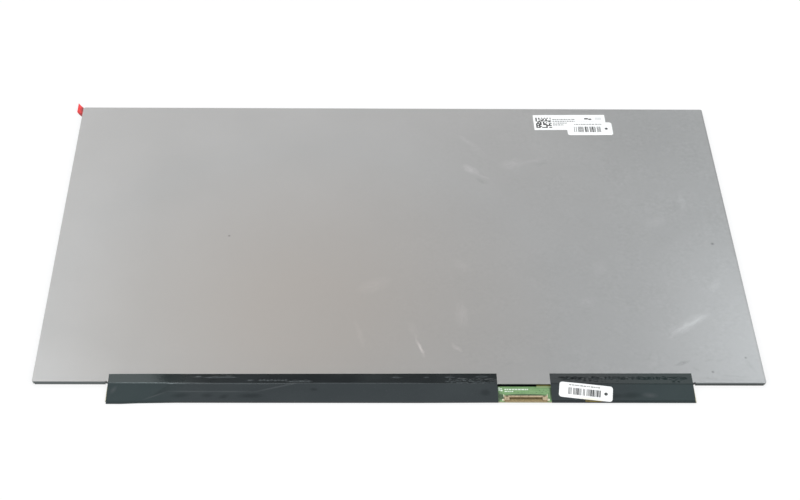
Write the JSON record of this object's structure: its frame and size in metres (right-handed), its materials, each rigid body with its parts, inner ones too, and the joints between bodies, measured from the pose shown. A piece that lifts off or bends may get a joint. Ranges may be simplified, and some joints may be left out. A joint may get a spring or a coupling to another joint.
{
  "type": "laptop screen panel",
  "caption": "Slim liquid crystal panel for a laptop, lying face down: metal back, black tapes over the driver board, a cable socket, white labels and a red pull tab.",
  "frame": {"origin": "centre of the metal back's outline, on the outer face of the protective film that the panel lies on", "axes": "+X along the long side, to the right when the back is seen with the board edge near the viewer; +Y from the board edge to the opposite long edge; +Z out of the back"},
  "size_m": [0.3541, 0.2226, 0.0025],
  "materials": {
    "aluminium_back": "satin rolled sheet with light scuffs",
    "black_plastic": "moulded, matt",
    "clear_film": "thin clear film",
    "red_film": "thin glossy red film",
    "dark_polarizer": "dark film, semi-gloss",
    "glass": "thin clear glass",
    "black_tape": "thin black tape with bubbles and soft creases",
    "clear_sheet": "clear ribbed sheet",
    "white_sheet": "matt white sheet",
    "amber_film": "amber flexible circuit",
    "lamp": "pale lamp bodies",
    "green_board": "green lacquered circuit board",
    "socket_plastic": "tan moulded housing",
    "socket_metal": "plated stamped sheet",
    "contact_metal": "gold-plated contacts",
    "chip": "black moulded chip",
    "coil": "dark coil body",
    "chip_capacitor": "small brown blocks",
    "label": null
  },
  "bodies": {
    "root": {"rear_cover": "aluminium_back", "mold_frame": "black_plastic", "protective_film": "clear_film", "pull_tab": "red_film", "front_polarizer": "dark_polarizer", "filter_glass": "glass", "array_glass": "glass", "rear_polarizer": "dark_polarizer", "rim_tape": "black_tape", "upper_prism_sheet": "clear_sheet", "lower_prism_sheet": "clear_sheet", "diffuser_sheet": "white_sheet", "light_guide_plate": "clear_sheet", "reflector_sheet": "white_sheet", "light_bar_flex": "amber_film", "light_bar_leds": "lamp", "driver_board": "green_board", "connector_housing": "socket_plastic", "connector_shell": "socket_metal", "connector_contacts": "contact_metal", "timing_controller": "chip", "power_chip": "chip", "backlight_driver": "chip", "memory_chip": "chip", "capacitors": "chip_capacitor", "resistors": "chip", "shield_tape": "black_tape", "cover_tape_left": "black_tape", "cover_tape_right": "black_tape", "product_label": "label", "barcode_label_upper": "label", "barcode_label_lower": "label", "inductor_1": "coil", "inductor_2": "coil", "inductor_3": "coil", "driver_film_1": "amber_film", "driver_chip_1": "chip", "driver_film_2": "amber_film", "driver_chip_2": "chip", "driver_film_3": "amber_film", "driver_chip_3": "chip", "driver_film_4": "amber_film", "driver_chip_4": "chip"}
  },
  "joints": []
}
